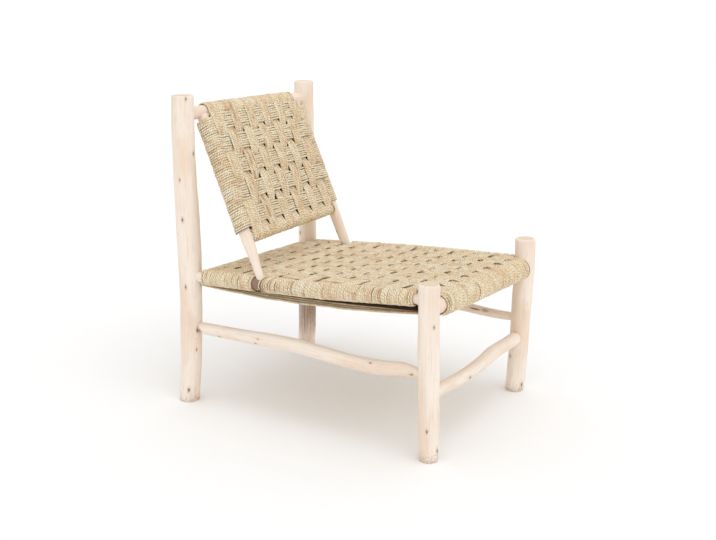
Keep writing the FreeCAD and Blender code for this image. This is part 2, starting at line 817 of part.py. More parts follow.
def back_middle(across, along, side):
    """A point of the back's weave, on the face of the panel that the side's sign tells."""
    top_radius = back_top_rail_diameter / 2 + rope_clearance + wrap_thickness
    bar_radius = back_bottom_rail_diameter / 2 + rope_clearance + wrap_thickness
    depth = top_radius * (1 - along) + bar_radius * along - weave_reach
    return back_axis_point(across, along) + back_normal * (depth + side * weave_step)


def rear_weft_middle(across, along, side):
    """The same point mirrored to the rear face, where the ropes across the back lie."""
    return back_axis_point(across, along) * 2 - back_middle(across, along, 0)


def rear_warp_middle(across, along, side):
    """A point of the ropes that run down the rear face, outside the ropes across it."""
    return rear_weft_middle(across, along, side) - back_normal * weave_step


def stile_wound(stile, bar_share, along):
    share = 1 - (1 - bar_share) * along
    return wound(stile, share)


back_columns = [
    (a / top_run, b / top_run)
    for a, b in strips(back_weave_margin, top_run - back_weave_margin, back_column_count, column_gap)
]
panel_height = (left_top - left_bar).Length
back_rows = [
    ((place - back_row_width / 2) / panel_height, (place + back_row_width / 2) / panel_height)
    for place in evenly(back_first_row_from_top, panel_height - back_last_row_from_bottom,
                        back_row_count)
]
back_panel = Panel(
    back_normal,
    lambda across: wound(back_top, left_top_share + (right_top_share - left_top_share) * across),
    lambda across: wound(back_bottom, across),
    lambda along: stile_wound(left_stile, left_bar_share, along),
    lambda along: stile_wound(right_stile, right_bar_share, along),
    back_columns, back_rows, slanted_lip_clearance)
back_warp_stops = (back_rows[0][0], back_rows[-1][1])
back_weft_stops = (back_columns[0][0], back_columns[-1][1])
solids["back_warp"] = Part.makeCompound(back_panel.warp_bands(back_middle, 1, back_warp_stops))
solids["back_weft"] = Part.makeCompound(back_panel.weft_bands(back_middle, 1))
solids["back_rear_warp"] = Part.makeCompound(
    back_panel.warp_bands(rear_warp_middle, -1, back_warp_stops))
solids["back_rear_weft"] = Part.makeCompound(
    back_panel.weft_bands(rear_weft_middle, -1, back_weft_stops, tucked=True))

for node, shape in solids.items():
    shape.exportStep(os.path.join("parts", node + ".step"))
    print(node, "solids", len(shape.Solids), "volume", round(shape.Volume), "valid", shape.isValid())
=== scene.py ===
"""Looks of a low lounge chair: peeled branches, and a seat and a back woven from twisted rope.

Shapes are worked out in millimetres and become meshes in metres. The chair's front faces -Y, left
is -X and +Z is up. Every piece stands for the CAD node whose name it carries.
"""

import math
from dataclasses import dataclass

import bpy
import numpy as np
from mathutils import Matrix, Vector, noise


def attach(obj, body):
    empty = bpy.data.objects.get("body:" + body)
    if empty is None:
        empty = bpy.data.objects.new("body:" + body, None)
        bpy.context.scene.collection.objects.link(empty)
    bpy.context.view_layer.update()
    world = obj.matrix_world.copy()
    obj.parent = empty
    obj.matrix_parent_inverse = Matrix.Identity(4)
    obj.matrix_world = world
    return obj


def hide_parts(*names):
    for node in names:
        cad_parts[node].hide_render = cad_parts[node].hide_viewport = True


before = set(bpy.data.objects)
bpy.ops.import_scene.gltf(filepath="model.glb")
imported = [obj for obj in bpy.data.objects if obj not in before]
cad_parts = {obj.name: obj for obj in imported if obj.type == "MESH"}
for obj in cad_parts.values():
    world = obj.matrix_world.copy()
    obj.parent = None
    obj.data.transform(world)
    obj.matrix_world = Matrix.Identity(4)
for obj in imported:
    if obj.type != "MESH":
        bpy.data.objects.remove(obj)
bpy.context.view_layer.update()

METRES = 0.001
RIGHT = np.array([1.0, 0.0, 0.0])
BEHIND = np.array([0.0, 1.0, 0.0])
UP = np.array([0.0, 0.0, 1.0])
rng = np.random.default_rng(1601)

# Size of the frame
post_spacing_across = 496.0
post_spacing_along = 667.0
rear_post_height = 760.0
front_post_height = 401.0
foot_taper_height = 36.0
foot_tip_share = 0.85
post_top_rounding = 5.0
post_top_share = 0.84

# Tenons and whittled ends
stretcher_tip_radius = 9.1
seat_tip_radius = 11.4
shoulder_clearance = 1.0
long_taper = 34.0
short_taper = 9.0

# Leaning back
left_stile_foot = 442.0
right_stile_foot = 531.0
left_stile_top_inset = 66.0
right_stile_top_inset = 51.0
bar_height = 118.0

# Posts: side, end, height and diameter
post_sizes = {
    "rear_left_post": (-1, 1, rear_post_height, 57.0),
    "rear_right_post": (1, 1, rear_post_height, 53.0),
    "front_left_post": (-1, -1, front_post_height, 47.0),
    "front_right_post": (1, -1, front_post_height, 50.6),
}

# Branches between others: the two that carry each, with the places of the joints, and its diameter
rail_sizes = {
    "left_stretcher": ("front_left_post", 198, "rear_left_post", 194, 34),
    "right_stretcher": ("front_right_post", 194, "rear_right_post", 196, 26),
    "front_stretcher": ("front_left_post", 148, "front_right_post", 147, 33.5),
    "seat_front_rail": ("front_left_post", 347, "front_right_post", 327, 38),
    "seat_rear_rail": ("rear_left_post", 305, "rear_right_post", 295, 27),
    "seat_left_rail": ("front_left_post", 369, "rear_left_post", 322.5, 27.5),
    "seat_right_rail": ("front_right_post", 338, "rear_right_post", 299, 25),
    "back_top_rail": ("rear_left_post", 715, "rear_right_post", 715, 31),
    "back_left_stile": ("seat_left_rail", left_stile_foot, "back_top_rail", left_stile_top_inset, 31),
    "back_right_stile": ("seat_right_rail", right_stile_foot, "back_top_rail",
                         -right_stile_top_inset, 31),
    "back_bottom_rail": ("back_left_stile", bar_height, "back_right_stile", bar_height, 23),
}

# Whittled ends: length of the taper at the start and at the end, and radius of the tip
short_ends = (short_taper, short_taper, stretcher_tip_radius)
whittled = {
    "left_stretcher": (long_taper, short_taper, stretcher_tip_radius),
    "right_stretcher": short_ends,
    "front_stretcher": short_ends,
    "seat_left_rail": (0, short_taper, seat_tip_radius),
}

# Shapes of the posts: height, lean across, lean along and girth, as shares of height and diameter
post_shares = {
    "rear_left_post": [
        (0, -0.09, 0.143, 0.9), (0.1, -0.041, 0.065, 0.92), (0.17, -0.005, 0.007, 0.94),
        (0.27, 0.024, -0.039, 0.95), (0.38, 0.046, -0.073, 0.97), (0.57, 0.044, -0.07, 1),
        (0.83, 0.02, -0.031, 0.95), (1, 0.047, -0.074, 0.93),
    ],
    "rear_right_post": [
        (0, 0.023, -0.037, 0.93), (0.157, 0.054, -0.086, 0.94), (0.41, 0.084, -0.134, 0.94),
        (0.7, 0.06, -0.096, 0.97), (0.93, 0.028, -0.045, 1), (1, 0.035, -0.056, 1),
    ],
    "front_left_post": [
        (0, 0.054, -0.087, 0.95), (0.3, 0.04, -0.06, 0.98), (0.6, 0.015, -0.025, 1),
        (1, -0.006, 0.009, 0.97),
    ],
    "front_right_post": [
        (0, -0.089, 0.142, 0.95), (0.135, -0.049, 0.079, 0.96), (0.36, -0.006, 0.01, 0.98),
        (0.58, 0.013, -0.02, 0.98), (0.8, 0.051, -0.082, 0.99), (1, 0.042, -0.067, 1),
    ],
}

# Shapes of the branches: place along, rise, drift and girth, as shares of length and diameter
branch_shares = {
    "left_stretcher": [
        (0, 0, 0, 0.72), (0.04, 0, 0, 0.76), (0.1, 0.05, 0, 0.9), (0.16, -0.12, 0.02, 0.97),
        (0.23, -0.2, 0.03, 0.98), (0.31, -0.17, 0.03, 0.94), (0.41, -0.04, 0.02, 0.98),
        (0.5, 0.1, 0, 1), (0.6, 0.15, -0.02, 0.97), (0.73, 0.06, -0.02, 0.92),
        (0.88, 0.02, 0, 0.86), (1, 0, 0, 0.84),
    ],
    "right_stretcher": [
        (0, 0, 0, 0.8), (0.12, -0.05, 0, 0.88), (0.27, 0.12, 0.02, 0.96), (0.5, 0.1, 0.05, 1),
        (0.75, -0.08, 0.02, 0.98), (1, 0, 0, 0.94),
    ],
    "front_stretcher": [
        (0, 0, 0, 0.8), (0.12, 0, 0, 0.84), (0.32, -0.17, 0.03, 0.92), (0.52, -0.13, 0.04, 0.97),
        (0.65, 0.06, 0.02, 1), (0.83, 0.02, 0, 1), (1, 0, 0, 0.97),
    ],
    "seat_front_rail": [(0, 0, 0, 0.97), (0.4, -0.02, 0.02, 1), (0.75, -0.03, 0, 0.97),
                        (1, 0, 0, 0.94)],
    "seat_rear_rail": [(0, 0, 0, 1), (0.42, 0.03, 0.03, 0.98), (1, 0, 0, 0.96)],
    "seat_left_rail": [
        (0, 0, 0, 0.94), (0.2, -0.11, 0, 0.98), (0.45, -0.22, 0.04, 1), (0.66, -0.13, 0.02, 1),
        (0.88, -0.03, 0, 1), (1, 0, 0, 0.98),
    ],
    "seat_right_rail": [(0, 0, 0, 0.96), (0.35, 0.2, 0, 1), (0.62, 0.18, -0.04, 1), (1, 0, 0, 0.98)],
    "back_top_rail": [(0, 0, 0, 1), (0.42, 0.03, 0.02, 0.98), (1, 0, 0, 1)],
    "back_bottom_rail": [(0, 0, 0, 1), (0.42, 0.03, -0.02, 0.99), (1, 0, 0, 0.97)],
    "back_left_stile": [
        (0, 0, 0, 0.6), (0.07, 0.02, 0, 0.63), (0.11, 0.05, 0, 0.66), (0.16, 0.07, 0.01, 0.78),
        (0.21, 0.05, 0.01, 0.9), (0.3, 0, 0.02, 0.91), (0.65, 0, 0.03, 0.92), (1, 0, 0, 0.92),
    ],
    "back_right_stile": [
        (0, 0, 0, 0.82), (0.12, 0, 0.01, 0.87), (0.25, 0, 0.02, 0.94), (0.65, 0, 0.03, 0.93),
        (1, 0, 0, 0.93),
    ],
}

# How far the ends of each kind of branch are sunk in, points round it and step along it
finish_of_kind = {
    "post": (0.0, 56, 3.6), "stretcher": (12.0, 40, 4.0), "rail": (12.0, 32, 6.0),
    "stile": (6.0, 40, 4.0),
}
bar_sunk = 4.0

# Bumps that peeling leaves: fineness round and length along, share of the seed, height by radius
bumps = [(0.9, 85, 1, 0.050), (2.6, 38, 3, 0.018), (7.0, 30, 5, 0.008)]

# Knots: place along the branch, angle round it from its rise towards its drift, and size
knots = {
    "rear_left_post": [
        (753, -122, 1.9), (624, -82, 2.6), (564, -166, 1.7), (468, -164, 2.4), (301, -164, 2.2),
        (188, -108, 2.2), (139, -112, 1.8), (34, -147, 2.8), (250, 40, 3), (520, 95, 2.5),
        (655, 15, 2),
    ],
    "rear_right_post": [(64, -78, 2.6), (182, 60, 3), (420, 20, 2.4), (610, 130, 2.8), (338, 160, 2.2)],
    "front_left_post": [
        (312, -125, 1.9), (76, -162, 2.2), (50, -123, 2.3), (28, -96, 2.8), (150, 70, 2.8),
        (240, 10, 2.2),
    ],
    "front_right_post": [(20, -114, 2.8), (210, 30, 2.6), (330, 100, 2.2), (95, 150, 2.4)],
    "left_stretcher": [
        (568, -129, 2), (450, -81, 2.2), (456, -120, 1.5), (140, -48, 1.8), (36, -102, 2),
        (300, 60, 2.4),
    ],
    "right_stretcher": [(420, -150, 2), (250, 80, 2.4)],
    "front_stretcher": [(330, -120, 2), (170, 95, 2.4)],
    "back_left_stile": [(80, 75, 1.8)],
    "back_right_stile": [(52, -140, 1.8)],
}
knot_length, knot_width, knot_height = 1.7, 0.85, 0.25
knot_reach = 80.0
no_knot = (9.0, 9.0, 9.0)

# Brown stains, and painted shade: place, angle, half the length, half the width and strength
stains_and_shade = {
    # The side rails are dark brown where their wraps leave a gap at the feet of the stiles.
    "seat_left_rail": [(454, 60, 26, 90, 1)],
    "seat_right_rail": [(545, 60, 12, 70, 0.8)],
    "left_stretcher": [(636, -110, 16, 13, 0.45)],
    "right_stretcher": [(124, -69, 17, 2.4, 0.9), (96, -60, 14, 7, 0.35)],
    # On the rear right post below the seat the brown patch is partly browner wood and partly painted
    # shade under the seat.
    "rear_right_post": [(165, -120, 150, 95, 0.42)],
}
worn_foot_height = 42.0

# Rope
rope_diameter = 5.6
rope_radius = rope_diameter / 2
rope_clearance = 0.4
near_sides, far_sides = 8, 7
weave_step = 6.2
warp_crossing, weft_crossing = 30.0, 15.0
column_margin, row_margin, fan_margin = 13.0, 10.0, 4.0
# Edge ropes of a bundle turn their outward side off the bundle, so that the rope's painted shade falls
# on the side next to a neighbour.
edge_lean = 0.5
steps_in_turn = 18
half_end_turn = 0.45
end_turn_lean = 1.6
layer_run = 12.0
lift_run = 8.0
lift_on_turns = 1.6
far_inset_run = 40.0
tail_bends = np.array([8.0, 18.0, 30.0, 42.0])
tail_lifts = np.array([-0.15, -0.45, -0.9, -1.5])

# Random lines: length between bends, which is in turns or points for the last three, and amount
wanders = {
    "warp depth": (40.0, 0.5), "warp shift": (45.0, 1.0), "warp squeeze": (35.0, 0.03),
    "warp side": (20.0, 0.42), "warp lift": (16.0, 0.42),
    "weft depth": (30.0, 0.45), "weft shift": (70.0, 1.0),
    "weft side": (18.0, 0.42), "weft lift": (14.0, 0.42),
    "far lift": (60.0, 0.5), "far side": (50.0, 0.45),
    "turn lift": (0.7, 0.5), "turn place": (0.8, 0.36), "girth": (3.0, 0.055),
}


def unit(vector):
    return vector / np.linalg.norm(vector, axis=-1, keepdims=True)


def ease(value):
    """A smooth step from 0 to 1 while the value goes from 0 to 1."""
    value = np.clip(value, 0.0, 1.0)
    return value * value * (3.0 - 2.0 * value)


def between(first, last, share):
    return first * (1 - share) + last * share


def wander(places, kind):
    """A smooth random line through the places."""
    length, amount = wanders[kind]
    first, last = float(np.min(places)), float(np.max(places))
    count = int((last - first) / length) + 3
    values = rng.normal(0.0, amount, count)
    position = (places - first) / length
    index = np.clip(position.astype(int), 0, count - 2)
    return values[index] + (values[index + 1] - values[index]) * ease(position - index)


class Stick:
    """A branch that sways and swells along a straight line between two points."""

    def __init__(self, start, end, diameter, shares, rise=UP, ends=()):
        self.start = np.array(start, float)
        span = np.array(end, float) - self.start
        self.length = float(np.linalg.norm(span))
        self.direction = span / self.length
        self.rise = unit(rise - self.direction * np.dot(rise, self.direction))
        self.drift = np.cross(self.direction, self.rise)
        self.diameter = diameter
        self.table = np.array(shares)
        self.ends = ends
        self.shoulders = (0.0, self.length)

    def values(self, share):
        """Rise, drift and girth on a smooth line through the table."""
        rows = self.table
        share = np.clip(share, 0.0, 1.0)
        index = np.clip(np.searchsorted(rows[:, 0], share, side="right") - 1, 0, len(rows) - 2)
        earlier, before, after, later = (rows[np.clip(index + step, 0, len(rows) - 1)]
                                         for step in (-1, 0, 1, 2))
        width = (after[:, :1] - before[:, :1])
        part = (share[:, None] - before[:, :1]) / width
        slope_in = (after - earlier) / (after[:, :1] - earlier[:, :1]) * width
        slope_out = (later - before) / (later[:, :1] - before[:, :1]) * width
        rest = 1.0 - part
        line = (before * (1 + 2 * part) * rest**2 + slope_in * part * rest**2
                + after * (3 - 2 * part) * part**2 - slope_out * rest * part**2)
        return line[:, 1:]

    def line(self, place):
        return self.start + self.direction * np.atleast_1d(place)[:, None]

    def centre(self, place):
        """Points of the swaying axis at places in millimetres from the start."""
        place = np.atleast_1d(np.asarray(place, float))
        values = self.values(place / self.length)
        sway = self.rise * values[:, :1] + self.drift * values[:, 1:2]
        return self.line(place) + sway * self.diameter

    def radius(self, place):
        place = np.atleast_1d(np.asarray(place, float))
        radius = self.values(place / self.length)[:, 2] * self.diameter / 2
        for start, inward, taper, tip in self.ends:
            run = np.clip((place - start) * inward / taper, 0.0, 1.0)
            radius = tip + (radius - tip) * np.sqrt(1.0 - (1.0 - run) ** 2)
        return radius


def make_post(name, side, end, height, diameter):
    foot = np.array([side * post_spacing_across / 2, end * post_spacing_along / 2, 0.0])
    ends = [(0.0, 1, foot_taper_height, foot_tip_share * diameter / 2),
            (height, -1, post_top_rounding, post_top_share * diameter / 2)]
    return Stick(foot, foot + UP * height, diameter, post_shares[name], RIGHT, ends)


def make_rail(name, first, first_place, last, last_place, diameter):
    """A branch from one branch's axis to another's. A place below 0 counts from the far end."""
    first, last = sticks[first], sticks[last]
    if last_place < 0:
        last_place += last.length
    start, end = first.centre(first_place)[0], last.centre(last_place)[0]
    shoulders = (first.radius(first_place)[0] + shoulder_clearance,
                 np.linalg.norm(end - start) - last.radius(last_place)[0] - shoulder_clearance)
    *tapers, tip = whittled.get(name, (0, 0, 0))
    ends = [(place, inward, taper, tip)
            for place, inward, taper in zip(shoulders, (1, -1), tapers) if taper]
    rail = Stick(start, end, diameter, branch_shares[name], ends=ends)
    rail.shoulders = shoulders
    return rail


sticks = {name: make_post(name, *sizes) for name, sizes in post_sizes.items()}
for name, sizes in rail_sizes.items():
    sticks[name] = make_rail(name, *sizes)
seat_front, seat_rear, seat_left, seat_right = (
    sticks[f"seat_{side}_rail"] for side in ("front", "rear", "left", "right"))
back_top, back_bottom = sticks["back_top_rail"], sticks["back_bottom_rail"]
left_stile, right_stile = sticks["back_left_stile"], sticks["back_right_stile"]


def mesh_object(name, points, faces, smooth=True):
    mesh = bpy.data.meshes.new(name)
    mesh.from_pydata((points * METRES).tolist(), [], faces)
    mesh.polygons.foreach_set("use_smooth", [smooth] * len(mesh.polygons))
    mesh.update()
    thing = bpy.data.objects.new(name, mesh)
    bpy.context.scene.collection.objects.link(thing)
    return thing


def add_attribute(thing, name, values):
    """A value or a vector for every point of a mesh."""
    kind, key = ("FLOAT", "value") if values.ndim == 1 else ("FLOAT_VECTOR", "vector")
    attribute = thing.data.attributes.new(name, kind, "POINT")
    attribute.data.foreach_set(key, np.asarray(values, np.float32).ravel())


def tube_faces(base, count, around):
    """Quads between rings of points, where base is the number of the first point."""
    faces = []
    for ring in range(base, base + (count - 1) * around, around):
        for j in range(around):
            k = (j + 1) % around
            faces.append((ring + j, ring + k, ring + around + k, ring + around + j))
    return faces


def turned(angle, degrees):
    """The turn from an angle in degrees to an angle in radians, between minus and plus pi."""
    return (angle - math.radians(degrees) + math.pi) % (2 * math.pi) - math.pi


def place_rings(first, last, step):
    """Places of a branch's rings: even steps, with closer ones near the two cut ends."""
    near = [0.0, 0.5, 1.2, 2.2, 3.4, 4.8, 7.0]
    margin = 11.0
    middle = np.linspace(first + margin, last - margin, int((last - first) / step))
    return np.concatenate([first + np.array(near), middle, last - np.array(near[::-1])])


def peeled_row(name, stick, place, centre, thickness, angle, seed):
    """Point, grain, nearest knot, and brown stain with painted shade at one place and angle of a peeled
    branch.
    """
    x, y = math.cos(angle), math.sin(angle)
    radius = thickness * (1 + sum(
        height * noise.noise(Vector((x * fineness, y * fineness, place / length + seed * shift)))
        for fineness, length, shift, height in bumps))
    knot = no_knot
    for knot_place, knot_angle, size in knots.get(name, ()):
        away = (place - knot_place) / (knot_length * size)
        turn = turned(angle, knot_angle) * thickness / (knot_width * size)
        if away**2 + turn**2 < knot_reach:
            knot = (turn, away, 0.0)
            radius += knot_height * size * math.exp(-(away**2 / 9 + turn**2 / 4))
    stain_and_shade = 0.0
    for patch_place, patch_angle, half_length, half_width, strength in stains_and_shade.get(name, ()):
        away = (place - patch_place) / half_length
        turn = turned(angle, patch_angle) * thickness / half_width
        stain_and_shade = max(stain_and_shade, strength * (1.0 - ease(math.hypot(away, turn) - 0.35)))
    point = centre + (stick.rise * x + stick.drift * y) * radius
    return [*point, x * radius, y * radius, place, *knot, stain_and_shade]


def stick_object(name, stick, sunk, around, step, seed):
    """A branch with the bumps and knots that peeling leaves, and two cut ends.

    A row has a point's place (3), its place in the grain (3), its knot (3), stain and painted shade,
    wear and cut.
    """
    places = place_rings(stick.shoulders[0] - sunk, stick.shoulders[1] + sunk, step)
    rows = [peeled_row(name, stick, place, centre, thickness, angle, seed)
            for place, centre, thickness in zip(places, stick.centre(places), stick.radius(places))
            for angle in np.arange(around) / around * 2 * math.pi]
    wear = np.clip(1.0 - places / worn_foot_height, 0.0, 1.0) * name.endswith("post")
    rows = np.column_stack([rows, np.repeat(wear, around), np.zeros(len(rows))])
    faces = tube_faces(0, len(places), around)
    for first, outward in ((0, -1), (len(rows) - around, 1)):
        outer = range(first, first + around)
        rim = rows[first:first + around].copy()
        rows[first:first + around, 11] = 0.5
        centre = rim[:, :3].mean(0)
        for share in (0.93, 0.62, 0.31):
            ring = rim.copy()
            ring[:, :3] = (centre + (rim[:, :3] - centre) * share
                           + stick.direction * outward * (0.5 * (1 - share)))
            ring[:, 3:5] *= share
            ring[:, 6:] = (*no_knot, 0.0, 0.0, 1.0)
            inner = range(len(rows), len(rows) + around)
            rows = np.concatenate([rows, ring])
            for j in range(around):
                k = (j + 1) % around
                faces.append((outer[j], outer[k], inner[k], inner[j])[::outward])
            outer = inner
        faces.append(tuple(outer[::outward]))
    thing = mesh_object(name + "_wood", rows[:, :3], faces)
    add_attribute(thing, "grain", rows[:, 3:6] * METRES + np.array([seed, seed * 0.7, 0.0]))
    add_attribute(thing, "knot", rows[:, 6:9])
    for column, value in enumerate(("stain_and_shade", "wear", "cut"), 9):
        add_attribute(thing, value, rows[:, column])
    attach(thing, "root")
    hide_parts(name)
    return thing


# Woven rope
class Wrap:
    """Rope wound round a stretch of a branch; 0 degrees is the woven face and 90 the outside."""

    def __init__(self, stick, face, outside, layer=0.0):
        self.stick = stick
        self.face = unit(face - stick.direction * np.dot(face, stick.direction))
        side = np.cross(stick.direction, self.face)
        self.outside = side * np.sign(np.dot(side, outside))
        self.layer = layer
        self.tight_until = -math.inf
        self.tilt = 0.0
        self.spread = (0.0, 1.0, 0.0)
        self.wound = (0.0, 0.0)

    def lean_along(self, across):
        """Tilt the turns so that on the woven face they run in this direction."""
        self.tilt = np.dot(across, self.stick.direction) / np.dot(across, self.outside)

    def radial(self, angle):
        angle = np.radians(np.atleast_1d(angle))[:, None]
        return self.face * np.cos(angle) + self.outside * np.sin(angle)

    def point(self, place, angle, lift=0.0):
        """Points of the rope's centre line. Past the tight stretch the turns lie in a thicker layer."""
        place = np.atleast_1d(np.asarray(place, float))
        layer = self.layer * ease((place - self.tight_until) / layer_run + 1.0)
        radius = self.stick.radius(place) + rope_clearance + layer + rope_radius + lift
        sine = np.sin(np.radians(angle))
        first, last, amount = self.spread
        place = (place + radius * sine * self.tilt
                 + amount * np.maximum(sine, 0) * ease((place - first) / (last - first))
                 * (place < last))
        return self.stick.centre(place) + self.radial(angle) * radius[:, None]

    def helix(self, turns, steps):
        """The centre line of one rope that passes the woven face at each of the turns' places."""
        index = np.arange(len(turns))
        end = len(turns) - 1 + half_end_turn
        time = np.linspace(-half_end_turn, end, int((end + half_end_turn) * steps) + 1)
        pitch = (turns[-1] - turns[0]) / (len(turns) - 1)
        place = np.interp(time, index, turns)
        place += np.minimum(time, 0) * pitch + np.maximum(time - index[-1], 0) * pitch
        lift = wander(time, "turn lift")
        angle = time * 360.0
        points = self.point(place + wander(time, "turn place"), angle, lift)
        # At the first and last turns the outward side leans off the wrap, so that the painted shade
        # between ropes stays on the side next to a neighbour.
        end_turns = ease(time - index[-1] + 0.6) - ease(0.6 - time)
        outward = self.radial(angle) + end_turn_lean * end_turns[:, None] * self.stick.direction
        return points, unit(outward), time


def rope_object(node, groups, sides=near_sides):
    """All ropes of one CAD node. A group is points, outward directions and tones of equal size."""
    verts, faces, tones, uvs = [], [], [], []
    base = 0
    # u = 0.5 faces the outward direction; the rope material paints shade on the flanks away from it.
    around = np.arange(sides) / sides * 2 * math.pi - math.pi
    for points, outward, tone in groups:
        count = len(points)
        tangent = unit(np.gradient(points, axis=0))
        up = unit(outward - tangent * np.sum(outward * tangent, axis=1, keepdims=True))
        side = np.cross(tangent, up)
        radius = rope_radius * (1 + wander(np.arange(count), "girth"))[:, None, None]
        ring = np.cos(around)[:, None] * up[:, None] + np.sin(around)[:, None] * side[:, None]
        verts.append((points[:, None] + ring * radius).reshape(-1, 3))
        tones.append(np.repeat(np.broadcast_to(tone, count), sides))
        run = np.concatenate([[0.0], np.cumsum(np.linalg.norm(np.diff(points, axis=0), axis=1))])
        run = (run + rng.uniform(0, 400)) * METRES
        for before, after in zip(run[:-1], run[1:]):
            for j in range(sides):
                left, right = j / sides, (j + 1) / sides
                uvs += [left, before, right, before, right, after, left, after]
        uvs += [0.5, run[0]] * sides + [0.5, run[-1]] * sides
        faces += tube_faces(base, count, sides)
        faces.append(tuple(range(base, base + sides))[::-1])
        base += count * sides
        faces.append(tuple(range(base - sides, base)))
    thing = mesh_object(node + "_rope", np.concatenate(verts), faces)
    layer = thing.data.uv_layers.new(name="twist")
    layer.data.foreach_set("uv", np.array(uvs, np.float32))
    add_attribute(thing, "tone", np.concatenate(tones))
    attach(thing, "root")
    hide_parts(node)
    return thing


def tones_of(count, bundle):
    """A tone from 0 to 1 for every rope, with neighbours of one bundle somewhat alike."""
    groups = np.repeat(rng.uniform(0.3, 0.7, count // bundle + 1), bundle)[:count]
    return np.clip(groups + rng.normal(0, 0.20, count), 0, 1)


def wound_object(node, wrap, turn_lists, tones, steps=steps_in_turn):
    """The turns round one branch, in one or more stretches, each turn in its own tone."""
    groups = []
    used = 0
    for turns in turn_lists:
        points, outward, time = wrap.helix(turns, steps)
        number = np.floor(time + used + 0.25).astype(int)
        groups.append((points, outward, tones[np.clip(number, 0, len(tones) - 1)]))
        used += len(turns)
    return rope_object(node, groups)


def steps_through(places, edges, values, width):
    """A line that holds each value between two edges and passes smoothly to the next."""
    line = np.full(len(places), float(values[0]))
    for edge, before, after in zip(edges, values[:-1], values[1:]):
        line += (after - before) * ease((places - edge) / width + 0.5)
    return line


def tail(wrap, place, pitch, face_angle):
    """The end of a rope that has joined its own turn round a branch and lies hidden in it."""
    angle = tail_bends if face_angle == 0 else face_angle - tail_bends
    points = wrap.point(place + pitch * angle / 360.0, angle, tail_lifts)
    return points, wrap.radial(angle)


def strand(start, end, body, normal, face_angle):
    """One rope from its turn round one branch to its turn round another."""
    head, head_out = tail(*start, face_angle)
    foot, foot_out = tail(*end, face_angle)
    points = np.concatenate([head[::-1], body, foot])
    outward = np.concatenate([head_out[::-1], np.broadcast_to(normal, body.shape), foot_out])
    return points, outward


def pushed_out(points, wrap):
    """Lift points of a rope onto the turns that are wound round a branch, where they sink in."""
    stick = wrap.stick
    place = (points - stick.start) @ stick.direction
    away = points - stick.centre(place)
    away -= stick.direction * (away @ stick.direction)[:, None]
    distance = np.linalg.norm(away, axis=1)
    first, last = wrap.wound
    held = ease((place - first) / lift_run + 1.0) * ease((last - place) / lift_run + 1.0)
    least = stick.radius(place) + rope_clearance + wrap.layer
    least = (least + rope_radius * (1.0 + lift_on_turns * held)) * (held > 0)
    short = np.maximum(least - distance, 0.0)
    return points + away / distance[:, None] * short[:, None]


